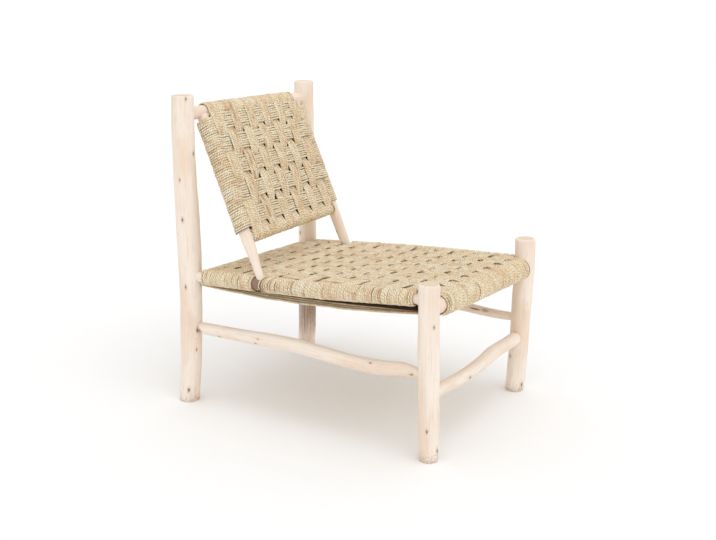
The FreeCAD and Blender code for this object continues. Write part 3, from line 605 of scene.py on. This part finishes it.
@dataclass
class Weave:
    """A woven field: warp from the start rail to the end rail, weft from left to right.

    Columns are shares of the width, and rows are places down the field. Shifts move a row along the
    two side branches. Spreads are the pitches of the ropes in the field, as shares of their pitch on
    the rails: warp on top, warp beneath, and weft. Fanned is the number of extra ropes beside the
    first and the last column. Drawn_out is the share by which the columns spread to the end rail,
    and first_give is how far the first column gives way where it dives under.
    """

    normal: np.ndarray
    surface: object
    wraps: tuple
    columns: list
    rows: list
    column_strands: list
    rope_pitch: float
    row_strands: int
    row_pitch: float
    height: float
    warp_place: object
    weft_place: object
    shifts: list
    spreads: tuple
    fanned: tuple = (0, 0)
    drawn_out: float = 0.0
    first_give: float = 0.0

    def levels(self, crossed):
        """Depths of a bundle at its crossings: it dives under wherever the crossed number is odd."""
        return -weave_step * (np.array(crossed) % 2)

    def across_at(self, across, along):
        """Where a column runs at a share of the way down, as the columns spread to the end rail."""
        return across + self.drawn_out * (1 - across) * along

    def row_turns(self, row):
        """For each rope of a row its offset from the middle, and its places on the side branches."""
        left_shift, right_shift = self.shifts[row]
        for k in range(self.row_strands):
            offset = (k - (self.row_strands - 1) / 2) * self.row_pitch
            place = self.rows[row] + offset
            yield offset, self.weft_place(place + left_shift, place + right_shift)

    def rope(self, turns, share, middle, sideways, held, side, height, blend, edge, lifted=()):
        """One rope of the woven face: free in the field, and drawn to its turns at both ends."""
        (first, first_place, _), (last, last_place, _) = turns
        free = middle + sideways * side[:, None] + self.normal * height[:, None]
        base = middle + sideways * held
        pull = np.where(share[:, None] < 0.5, first.point(first_place, 0.0)[0] - base[0],
                        last.point(last_place, 0.0)[0] - base[-1])
        body = free * blend[:, None] + (base + pull) * (1 - blend[:, None])
        for wrap in lifted:
            body = pushed_out(body, wrap)
        return strand(*turns, body, unit(self.normal + sideways * (edge_lean * edge)), 0)

    def warp(self, count=112):
        """Every rope of the warp on the woven face."""
        start, end, left, right = self.wraps
        made = []
        along = np.linspace(0.0, 1.0, count)
        mm = along * self.height
        edges = [(a + b) / 2 for a, b in zip(self.rows[:-1], self.rows[1:])]
        sideways = unit(self.surface(1.0, 0.5) - self.surface(0.0, 0.5))
        first_run = self.rows[0] - column_margin
        last_run = self.height - self.rows[-1] - column_margin
        blend = np.minimum(ease(mm / first_run), ease((self.height - mm) / last_run))
        for column, across in enumerate(self.columns):
            number = self.column_strands[column]
            levels = self.levels([column + row for row in range(len(self.rows))])
            depth = steps_through(mm, edges, levels, warp_crossing)
            depth += wander(mm, "warp depth")
            shift = wander(mm, "warp shift")
            under = np.clip(-depth / weave_step, 0.0, 1.0)
            squeeze = self.spreads[0] + (self.spreads[1] - self.spreads[0]) * under
            squeeze *= 1.0 + wander(mm, "warp squeeze")
            if column == 0:
                shift += self.first_give * under
            middle = np.array([self.surface(self.across_at(across, t), t) for t in along])
            start_place = self.warp_place(across)[0]
            end_place = self.warp_place(self.across_at(across, 1.0))[1]
            first = 0 if column else -self.fanned[0]
            last = number - 1 + (self.fanned[1] if column == len(self.columns) - 1 else 0)
            for k in range(first, last + 1):
                offset = (k - (number - 1) / 2) * self.rope_pitch
                held = (min(max(k, 0), number - 1) - (number - 1) / 2) * self.rope_pitch
                side = (held * (1 - blend) + offset * squeeze * blend
                        + (shift + wander(mm, "warp side")) * blend)
                height = depth + wander(mm, "warp lift")
                turns = ((start, start_place + held, self.rope_pitch),
                         (end, end_place + held, self.rope_pitch))
                made.append(self.rope(turns, along, middle, sideways, held, side, height, blend,
                                      (k == last) - (k == first), (left, right)))
        return made

    def weft(self, count=100):
        """Every rope of the weft on the woven face."""
        left, right = self.wraps[2:]
        made = []
        across = np.linspace(0.0, 1.0, count)
        down = unit(self.surface(0.5, 1.0) - self.surface(0.5, 0.0))
        squeeze = self.spreads[2]
        for row, place in enumerate(self.rows):
            along = place / self.height
            levels = self.levels([row + 1 + column for column in range(len(self.columns))])
            width = np.linalg.norm(self.surface(1.0, along) - self.surface(0.0, along))
            mm = across * width
            middles = self.across_at(np.array(self.columns), along)
            edges = (middles[:-1] + middles[1:]) / 2
            depth = steps_through(mm, edges * width, levels, weft_crossing)
            depth += wander(mm, "weft depth")
            shift = wander(mm, "weft shift")
            middle = np.array([self.surface(t, along) for t in across])
            first_run = middles[0] * width - row_margin - fan_margin * self.fanned[0]
            last_run = (1.0 - middles[-1]) * width - row_margin
            blend = np.minimum(ease(mm / first_run), ease((width - mm) / last_run))
            for k, (offset, places) in enumerate(self.row_turns(row)):
                side = (offset * (1 - blend * (1 - squeeze))
                        + (shift + wander(mm, "weft side")) * blend)
                height = depth + wander(mm, "weft lift")
                turns = ((left, places[0], self.row_pitch), (right, places[1], self.row_pitch))
                made.append(self.rope(turns, across, middle, down, offset, side, height, blend,
                                      (k == self.row_strands - 1) - (k == 0)))
        return made


def far_strands(wraps, places, pitch, normal, depth=0.0, sag=0.0, count=26, open_edge=0.0):
    """Ropes on the far face, from the turns of one branch to the turns of another."""
    start, end = wraps
    made = []
    share = np.linspace(0.0, 1.0, count)
    bulge = np.sin(share * math.pi)
    first_drops = (1.0, 0.74, 0.48)
    for number, (start_place, end_place) in enumerate(places):
        left_over = len(places) - number
        first = start.point(start_place + pitch / 2, 180.0)[0]
        last = end.point(end_place + pitch / 2, 180.0)[0]
        mm = share * np.linalg.norm(last - first)
        drop = first_drops[number] if number < len(first_drops) else 1.0
        bow = 4 * share * (1 - share) * (drop + rng.normal(0, 0.05)) * sag
        inset = depth * np.minimum(ease(mm / far_inset_run), ease(mm[::-1] / far_inset_run))
        lift = bow + wander(mm, "far lift") * bulge - inset
        shift = wander(mm, "far side") * bulge + open_edge * max(0, 4 - left_over) / 3 * bulge
        side = unit(np.cross(last - first, normal))
        body = (first + (last - first) * share[:, None] + normal * lift[:, None]
                + side * shift[:, None])
        # The outermost ropes of the far face turn their outward side off the sheet, so that their free
        # side gets no painted shade between ropes.
        edge = 2.0 * (max(0, 3 - left_over) - max(0, 3 - number))
        made.append(strand((start, start_place, pitch), (end, end_place, pitch), body,
                           unit(normal + start.stick.direction * edge), 180))
    return made


def strands_object(node, ropes, tones, sides=near_sides):
    """The ropes of one face of a woven field, each in its own tone."""
    return rope_object(node, [(*rope, tone) for rope, tone in zip(ropes, tones)], sides)


# Seat
seat_first_column = 44.0
seat_last_margin = 28.0
half_column_gap = 2.3
seat_first_row = 42.0
seat_last_row_margin = 61.0
seat_columns_count, seat_rows_count = 15, 11
seat_column_strands, seat_row_strands, seat_gap_strands = 5, 6, 4
seat_spreads = (1.03, 0.90, 0.98)
front_wrap_layer = 2.6
seat_sag = 15.0
foot_clearance = 2.0
left_foot_margin, right_foot_margin = 5.0, 8.0
turn_clearance, left_rear_clearance = 2.0, 16.0
spread_run, spread_past, spread_amount = 70.0, 4.0, 11.0
tight_margin = 14.0
fine_steps = 22
top_over_front, top_over_rear, top_over_left, top_over_right = 27.2, 19.1, 19.35, 18.1

column_pitch = (seat_front.length - seat_first_column - seat_last_margin
                + 2 * half_column_gap) / seat_columns_count
warp_pitch = column_pitch / seat_column_strands
seat_columns = [(seat_first_column - half_column_gap + column_pitch * (c + 0.5)) / seat_front.length
                for c in range(seat_columns_count)]
row_step = (seat_left.length - seat_last_row_margin - seat_first_row) / (seat_rows_count - 1)
seat_rows = [seat_first_row + row_step * r for r in range(seat_rows_count)]
weft_pitch = row_step / (seat_row_strands + seat_gap_strands)
half_row = (seat_row_strands - 1) / 2 * weft_pitch

front_wrap = Wrap(seat_front, UP, -BEHIND, front_wrap_layer)
front_wrap.tight_until = seat_first_column + tight_margin
rear_wrap = Wrap(seat_rear, UP, BEHIND)
left_wrap = Wrap(seat_left, UP, -RIGHT)
right_wrap = Wrap(seat_right, UP, RIGHT)


def over_rail(rail, share, rise):
    return rail.line(share * rail.length)[0] + UP * rise


def seat_surface(across, along):
    """A point at the height of the rope that lies on top, midway between the four rails' tops."""
    warp = between(over_rail(seat_front, across, top_over_front),
                   over_rail(seat_rear, across, top_over_rear), along)
    weft = between(over_rail(seat_left, along, top_over_left),
                   over_rail(seat_right, along, top_over_right), across)
    return np.array([warp[0], weft[1], (warp[2] + weft[2]) / 2])


def stretch_turns(first, last):
    """Places of the turns on a stretch of a side rail, in step with the weave."""
    origin = seat_rows[0] - half_row
    low = math.ceil((first + rope_radius - origin) / weft_pitch)
    high = math.floor((last - rope_radius - origin) / weft_pitch)
    return origin + weft_pitch * np.arange(low, high + 1)


def foot_gap(stile, foot, margin):
    """The stretch of a side rail that the foot of a stile keeps free."""
    half = stile.radius(0)[0] + foot_clearance
    return foot - half, foot + half + margin


left_gap = foot_gap(left_stile, left_stile_foot, left_foot_margin)
right_gap = foot_gap(right_stile, right_stile_foot, right_foot_margin)
left_wrap.spread = (left_gap[0] - spread_run, left_gap[0] + spread_past, spread_amount)
left_turns = [stretch_turns(seat_left.shoulders[0] + turn_clearance, left_gap[0]),
              stretch_turns(left_gap[1], seat_left.shoulders[1] - left_rear_clearance)]
right_turns = [stretch_turns(seat_right.shoulders[0] + turn_clearance, right_gap[0]),
               stretch_turns(right_gap[1], seat_right.shoulders[1] - turn_clearance)]


def row_shift(place, gap):
    """How far a row of ropes moves along a side rail to clear the foot of a stile."""
    low, high = place - half_row, place + half_row
    if high + rope_radius <= gap[0] or low - rope_radius >= gap[1]:
        return 0.0
    back = gap[0] - rope_radius - high
    forth = gap[1] + rope_radius - low
    shift = back if abs(back) < abs(forth) else forth
    return math.copysign(math.ceil(abs(shift) / weft_pitch) * weft_pitch, shift)


seat = Weave(
    normal=UP, surface=seat_surface, wraps=(front_wrap, rear_wrap, left_wrap, right_wrap),
    columns=seat_columns, rows=seat_rows, column_strands=[seat_column_strands] * seat_columns_count,
    rope_pitch=warp_pitch, row_strands=seat_row_strands, row_pitch=weft_pitch,
    height=seat_left.length,
    warp_place=lambda across: (across * seat_front.length, across * seat_rear.length),
    weft_place=lambda left, right: (left, right),
    shifts=[(row_shift(place, left_gap), row_shift(place, right_gap)) for place in seat_rows],
    spreads=seat_spreads, fanned=(3, 0),
)
warp_turns = np.array([across * seat_front.length + (k - (seat_column_strands - 1) / 2) * warp_pitch
                       for across in seat_columns for k in range(seat_column_strands)])
rear_turns = warp_turns / seat_front.length * seat_rear.length
under_rows = [places for row in range(1, seat_rows_count) for _, places in seat.row_turns(row)]
warp_tones = tones_of(len(warp_turns), seat_column_strands)
weft_tones = tones_of(seat_rows_count * seat_row_strands, seat_row_strands)
side_tones = tones_of(140, 7)
ropes = [
    strands_object("seat_warp", seat.warp(), np.append(warp_tones[5:8], warp_tones)),
    strands_object("seat_weft", seat.weft(), weft_tones),
    wound_object("seat_front_wrap", front_wrap, [warp_turns], warp_tones, fine_steps),
    wound_object("seat_rear_wrap", rear_wrap, [rear_turns], warp_tones),
    wound_object("seat_left_wrap", left_wrap, left_turns, side_tones),
    wound_object("seat_right_wrap", right_wrap, right_turns, side_tones[::-1]),
    strands_object("seat_under_warp", far_strands(
        (front_wrap, rear_wrap), list(zip(warp_turns, rear_turns)), warp_pitch, -UP,
        sag=seat_sag, count=48), warp_tones, far_sides),
    strands_object("seat_under_weft", far_strands(
        (left_wrap, right_wrap), under_rows, weft_pitch, -UP), weft_tones[seat_row_strands:],
        far_sides),
]

# Back
back_left_margin, back_right_margin = 5.5, 24.0
back_strands = [8] + [6] * 10
back_spreads = (1.09, 0.86, 0.97)
back_weft_pitch = 5.95
back_row_strands = 7
back_rows = [33.0, 92.5, 152.0, 217.45, 282.9]
winding_layer = 1.2
turns_above_second_row = 11
winding_end_margin = 17.0
bar_left_margin, bar_right_margin = 17.5, 18.0
top_over_top_rail, top_over_bar = 18.7, 14.7

left_top_place = left_stile_top_inset
right_top_place = back_top.length - right_stile_top_inset
left_top, right_top = back_top.centre(left_top_place)[0], back_top.centre(right_top_place)[0]
left_bar, right_bar = left_stile.centre(bar_height)[0], right_stile.centre(bar_height)[0]
across_back = (right_top - left_top) + (right_bar - left_bar)
back_normal = unit(np.cross(across_back, (left_top - left_bar) + (right_top - right_bar)))
top_run = right_top_place - left_top_place
panel_height = float(np.linalg.norm(left_top - left_bar))
back_pitch = (top_run - back_left_margin - back_right_margin) / sum(back_strands)
back_firsts = np.cumsum([0] + back_strands[:-1])
back_columns = [(back_left_margin + (first + number / 2) * back_pitch) / top_run
                for first, number in zip(back_firsts, back_strands)]

top_wrap = Wrap(back_top, back_normal, UP)
bottom_wrap = Wrap(back_bottom, back_normal, -UP)
left_winding = Wrap(left_stile, back_normal, -RIGHT, winding_layer)
right_winding = Wrap(right_stile, back_normal, RIGHT)


def back_surface(across, along):
    """A point of the leaning sheet at the height of the rope that lies on top."""
    edge_points = between(left_top, left_bar, along), between(right_top, right_bar, along)
    return (between(*edge_points, across)
            + back_normal * between(top_over_top_rail, top_over_bar, along))


def on_stiles(left_below_top, right_below_top):
    """Places on the two stiles for distances below the axis of the top rail."""
    return tuple(stile.length - below_top * ((stile.length - bar_height) / panel_height)
                 for stile, below_top in ((left_stile, left_below_top), (right_stile, right_below_top)))


winding_first = back_rows[1] - turns_above_second_row * back_weft_pitch
winding_last = panel_height - winding_end_margin - rope_radius
for winding, *stretch in zip((left_winding, right_winding), on_stiles(winding_last, winding_last),
                             on_stiles(winding_first, winding_first)):
    winding.lean_along(unit(across_back))
    winding.wound = stretch
top_row_shift = winding_first - (back_rows[0] - (back_row_strands - 1) / 2 * back_weft_pitch)
back = Weave(
    normal=back_normal, surface=back_surface,
    wraps=(top_wrap, bottom_wrap, left_winding, right_winding), columns=back_columns,
    rows=back_rows, column_strands=back_strands, rope_pitch=back_pitch,
    row_strands=back_row_strands, row_pitch=back_weft_pitch, height=panel_height,
    warp_place=lambda across: (left_top_place + across * top_run, across * back_bottom.length),
    weft_place=on_stiles, shifts=[(top_row_shift, top_row_shift)] + [(0.0, 0.0)] * 4,
    spreads=back_spreads, fanned=(0, 2), drawn_out=0.009, first_give=7.0,
)
top_turns = left_top_place + back_left_margin + (np.arange(sum(back_strands)) + 0.5) * back_pitch
bottom_turns = []
for across, number in zip(back_columns, back_strands):
    middle = back.across_at(across, 1.0) * back_bottom.length
    bundle = middle + (np.arange(number) - (number - 1) / 2) * back_pitch
    if bottom_turns:
        bottom_turns.append((bottom_turns[-1] + bundle[0]) / 2)
    bottom_turns += list(bundle)
while bottom_turns[-1] + back_pitch < back_bottom.length - bar_right_margin:
    bottom_turns.append(bottom_turns[-1] + back_pitch)
while bottom_turns[0] - back_pitch > bar_left_margin:
    bottom_turns.insert(0, bottom_turns[0] - back_pitch)
rear_warp_places = list(zip(np.linspace(top_turns[0], top_turns[-1], len(bottom_turns)), bottom_turns))
rear_rows = [places for row in range(len(back_rows)) for _, places in back.row_turns(row)]
left_places, right_places = (np.array(places) for places in zip(*(
    on_stiles(below, below) for below in np.arange(winding_first, winding_last, back_weft_pitch))))
back_tones = tones_of(len(top_turns), 6)
back_weft_tones = tones_of(len(back_rows) * back_row_strands, back_row_strands)
winding_tones = tones_of(len(left_places), 10)
ropes += [
    strands_object("back_warp", back.warp(70), np.append(back_tones, back_tones[-2:])),
    strands_object("back_weft", back.weft(90), back_weft_tones),
    wound_object("back_top_wrap", top_wrap, [top_turns], back_tones),
    wound_object("back_bottom_wrap", bottom_wrap, [bottom_turns], tones_of(len(bottom_turns), 6)),
    wound_object("back_left_winding", left_winding, [left_places], winding_tones),
    wound_object("back_right_winding", right_winding, [right_places], winding_tones[::-1]),
    strands_object("back_rear_warp", far_strands(
        (top_wrap, bottom_wrap), rear_warp_places, back_pitch, -back_normal, open_edge=7.0),
        np.resize(back_tones, len(bottom_turns)), far_sides),
    strands_object("back_rear_weft", far_strands(
        (left_winding, right_winding), rear_rows, back_weft_pitch, -back_normal, weave_step),
        back_weft_tones, far_sides),
]

# Branches
woods = []
for number, (name, stick) in enumerate(sticks.items()):
    sunk, around, step = finish_of_kind[name.split("_")[-1]]
    if name == "back_bottom_rail":
        sunk = bar_sunk
    woods.append(stick_object(name, stick, sunk, around, step, number * 1.7 + 0.4))


# Materials
class Nodes:
    """The node tree of a material or a world, in which nodes are added and linked."""

    def __init__(self, owner):
        owner.use_nodes = True
        self.owner = owner
        self.tree = owner.node_tree
        self.tree.nodes.clear()

    def add(self, kind, inputs=None, output=0, **settings):
        node = self.tree.nodes.new(kind)
        for key, value in settings.items():
            setattr(node, key, value)
        for key, value in (inputs or {}).items():
            if isinstance(value, bpy.types.NodeSocket):
                self.tree.links.new(value, node.inputs[key])
            else:
                node.inputs[key].default_value = value
        return node.outputs[output] if len(node.outputs) else None

    def math(self, operation, first, second=0.0):
        return self.add("ShaderNodeMath", {0: first, 1: second}, operation=operation)

    def plus(self, first, second):
        return self.math("ADD", first, second)

    def times(self, first, second):
        return self.math("MULTIPLY", first, second)

    def mix(self, factor, first, second):
        return self.add("ShaderNodeMix", {0: factor, 6: first, 7: second}, 2, data_type="RGBA")

    def remap(self, value, low, high, new_low=0.0, new_high=1.0):
        return self.add("ShaderNodeMapRange", {0: value, 1: low, 2: high, 3: new_low, 4: new_high},
                        interpolation_type="SMOOTHSTEP")

    def noise(self, vector, scale, detail=2.0, roughness=0.5):
        return self.add("ShaderNodeTexNoise", {"Vector": vector, "Scale": scale, "Detail": detail,
                                               "Roughness": roughness})

    def scaled(self, vector, along):
        """The grain's place with its part along the branch scaled, so that noise makes streaks."""
        return self.add("ShaderNodeMapping", {"Vector": vector, "Scale": (1.0, 1.0, along)})

    def pair(self, first, second):
        return self.add("ShaderNodeCombineXYZ", {0: first, 1: second})

    def attribute(self, name, output="Fac"):
        return self.add("ShaderNodeAttribute", output=output, attribute_name=name)

    def place(self):
        return self.add("ShaderNodeTexCoord", output="Object")

    def tinted(self, tint, layers):
        """Lay colours over a tint: each grows to its share as its source goes from low to high."""
        for source, low, high, share, shade in layers:
            tint = self.mix(self.remap(source, low, high, 0.0, share), tint, colour(*shade))
        return tint

    def finish(self, tint, roughness, height, distance, sheen=0.0):
        bump = self.add("ShaderNodeBump", {"Height": height, "Distance": distance, "Strength": 1.0})
        surface = self.add("ShaderNodeBsdfPrincipled", {
            "Base Color": tint, "Roughness": roughness, "Normal": bump, "Sheen Weight": sheen})
        self.add("ShaderNodeOutputMaterial", {"Surface": surface})
        return self.owner


def colour(red, green, blue):
    """A colour given as it looks on a screen, from 0 to 255."""
    values = [c / 255 for c in (red, green, blue)]
    return tuple(c / 12.92 if c <= 0.04045 else ((c + 0.055) / 1.055) ** 2.4 for c in values) + (1,)


def wood_material():
    """Pale peeled wood: long streaks, flecks, knots, brown stains with some painted shade, and worn
    feet.
    """
    s = Nodes(bpy.data.materials.new("peeled_wood"))
    grain = s.attribute("grain", "Vector")
    broad = s.noise(s.scaled(grain, 0.30), 22.0, 3.0)
    streak = s.noise(s.scaled(grain, 0.045), 260.0, 4.0, 0.6)
    fibre = s.noise(s.scaled(grain, 0.02), 1500.0, 2.0, 0.6)
    fleck = s.noise(s.scaled(grain, 0.16), 330.0, 2.0, 0.55)
    rings = s.noise(s.scaled(grain, 0.0), 420.0, 3.0)
    rough_edge = s.noise(grain, 420.0, 3.0, 0.6)
    stain_and_shade = s.plus(s.attribute("stain_and_shade"), s.times(streak, 0.5))
    stain_and_shade = s.plus(stain_and_shade, s.times(rough_edge, 0.3))
    stain_and_shade_mask = s.times(s.remap(stain_and_shade, 0.48, 0.95), s.remap(s.attribute("stain_and_shade"), 0.0, 0.2))
    wear = s.plus(s.times(s.attribute("wear"), 0.34), rough_edge)
    away = s.add("ShaderNodeVectorMath", {0: s.attribute("knot", "Vector")}, 1, operation="LENGTH")
    away = s.plus(away, s.times(s.math("SUBTRACT", rough_edge, 0.5), 1.6))
    tint = s.tinted(colour(246, 234, 221), [
        (broad, 0.38, 0.66, 1.0, (239, 218, 198)),
        (streak, 0.5, 0.72, 0.5, (228, 200, 174)),
        (fibre, 0.45, 0.75, 0.25, (218, 190, 164)),
        (fleck, 0.7, 0.76, 0.5, (168, 128, 96)),
    ])
    # Brown stains, and on the rear right post below the seat partly painted shade.
    tint = s.mix(s.times(stain_and_shade_mask, 0.9), tint, colour(128, 94, 70))
    tint = s.tinted(tint, [
        (wear, 0.7, 0.84, 0.6, (166, 140, 118)),
        (away, 3.4, 1.0, 0.45, (196, 158, 126)),
        (away, 1.25, 0.55, 0.92, (104, 74, 54)),
    ])
    ends = s.tinted(colour(240, 222, 200), [(rings, 0.42, 0.62, 1.0, (214, 184, 152))])
    tint = s.mix(s.remap(s.attribute("cut"), 0.55, 0.95), tint, ends)
    height = s.plus(s.times(streak, 0.5), s.times(fibre, 0.35))
    height = s.plus(height, s.times(fleck, 0.3))
    return s.finish(tint, s.remap(streak, 0.3, 0.8, 0.50, 0.72), height, 0.0006)


def rope_material():
    """Twisted straw rope: two strands, painted shade between the ropes and in the twist's grooves, each
    rope in its own tint.
    """
    s = Nodes(bpy.data.materials.new("rope"))
    twist = s.add("ShaderNodeUVMap", uv_map="twist")
    around, along = (s.add("ShaderNodeSeparateXYZ", {0: twist}, axis) for axis in (0, 1))
    place = s.place()
    tone = s.attribute("tone")
    # Painted shade: side runs from the top of a rope to its flanks, which are darkened where
    # neighbouring ropes meet.
    side = s.math("ABSOLUTE", s.math("SUBTRACT", around, 0.5))
    phase = s.plus(s.times(around, 2.0), s.times(along, 150.0))
    phase = s.plus(phase, s.times(s.noise(place, 90.0), 0.7))
    wave = s.remap(s.math("SINE", s.times(phase, 2 * math.pi)), -1.0, 1.0)
    fibre = s.noise(s.pair(s.times(phase, 1.4), s.times(along, 45.0)), 2.6, 3.0, 0.65)
    blotch = s.noise(place, 150.0, 3.0, 0.65)
    streak = s.noise(s.pair(s.times(tone, 170.0), s.times(along, 42.0)), 1.0, 3.0, 0.6)
    hue = s.noise(s.pair(s.times(tone, 90.0), s.times(along, 9.0)), 1.0, 2.0, 0.6)
    grit = s.noise(place, 420.0, 2.0, 0.6)
    tint = s.tinted(colour(240, 210, 168), [
        (tone, 0.0, 1.0, 1.0, (255, 242, 208)),
        (tone, 0.1, 0.0, 0.6, (176, 134, 100)),
        (hue, 0.54, 0.68, 0.5, (246, 210, 174)),
        (hue, 0.46, 0.32, 0.45, (236, 220, 170)),
        (streak, 0.49, 0.38, 0.7, (255, 250, 230)),
        (streak, 0.55, 0.68, 0.5, (190, 146, 100)),
        (fibre, 0.5, 0.68, 0.6, (255, 250, 230)),
        (fibre, 0.42, 0.29, 0.6, (160, 116, 72)),
        (blotch, 0.58, 0.7, 0.4, (170, 128, 86)),
        # Painted shade in the grooves of the twist.
        (wave, 0.2, 0.0, 0.45, (150, 110, 68)),
        # Painted shade on the flanks of each rope, between neighbouring ropes.
        (side, 0.2, 0.26, 0.85, (96, 64, 36)),
        (grit, 0.64, 0.76, 0.35, (130, 94, 60)),
    ])
    height = s.plus(s.times(wave, 0.75), s.times(fibre, 0.5))
    return s.finish(tint, s.remap(fibre, 0.3, 0.7, 0.85, 0.62), height, 0.0015, sheen=0.08)


def floor_material():
    """A plain white floor, a little uneven."""
    s = Nodes(bpy.data.materials.new("floor"))
    uneven = s.noise(s.place(), 3.0)
    tint = s.mix(uneven, (0.98, 0.98, 0.98, 1), (0.99, 0.99, 0.99, 1))
    return s.finish(tint, 0.9, uneven, 0.0001)


for things, material in ((woods, wood_material()), (ropes, rope_material())):
    for thing in things:
        thing.data.materials.append(material)

# Floor
half = 14000.0
floor_corners = np.array([[-half, -half, 0], [half, -half, 0], [half, half, 0], [-half, half, 0]])
floor = mesh_object("floor", floor_corners, [(0, 1, 2, 3)], False)
floor.data.materials.append(floor_material())

# Light and camera
world_strength, background_strength = 0.84, 1.0
studio = Nodes(bpy.data.worlds.new("studio"))
shown = 0.0
for ray in ("Is Camera Ray", "Is Glossy Ray", "Is Transmission Ray"):
    shown = studio.math("MAXIMUM", studio.add("ShaderNodeLightPath", output=ray), shown)
felt, seen = (studio.add("ShaderNodeBackground", {0: (1, 1, 1, 1), 1: strength})
              for strength in (world_strength, background_strength))
studio.add("ShaderNodeOutputWorld",
           {0: studio.add("ShaderNodeMixShader", {0: shown, 1: felt, 2: seen})})
bpy.context.scene.world = studio.owner


def aimed(name, data, direction):
    """An object, such as a lamp or a camera, that looks in a direction."""
    thing = bpy.data.objects.new(name, data)
    thing.rotation_mode = "QUATERNION"
    thing.rotation_quaternion = Vector(direction).to_track_quat("-Z", "Y")
    bpy.context.scene.collection.objects.link(thing)
    return thing


# Suns: direction, strength and width in degrees
suns = {
    "top": ((0.15, 0.25, -1.0), 0.48, 60.0),
    "key": ((0.35, 0.95, -0.70), 0.30, 60.0),
    "fill": ((0.95, 0.10, -0.45), 0.10, 70.0),
}
for name, (direction, strength, width) in suns.items():
    lamp = bpy.data.lights.new(name, "SUN")
    lamp.energy = strength
    lamp.angle = math.radians(width)
    aimed(name, lamp, direction)

camera_place = Vector((-2.0768, -1.3022, 0.9835))
camera_target = Vector((-0.196, -0.124, 0.390))
camera = bpy.data.cameras.new("camera")
camera.lens = 51.49
camera.sensor_width = 36.0
camera_object = aimed("camera", camera, camera_target - camera_place)
camera_object.location = camera_place
bpy.context.scene.camera = camera_object
bpy.context.scene.view_settings.view_transform = "Standard"
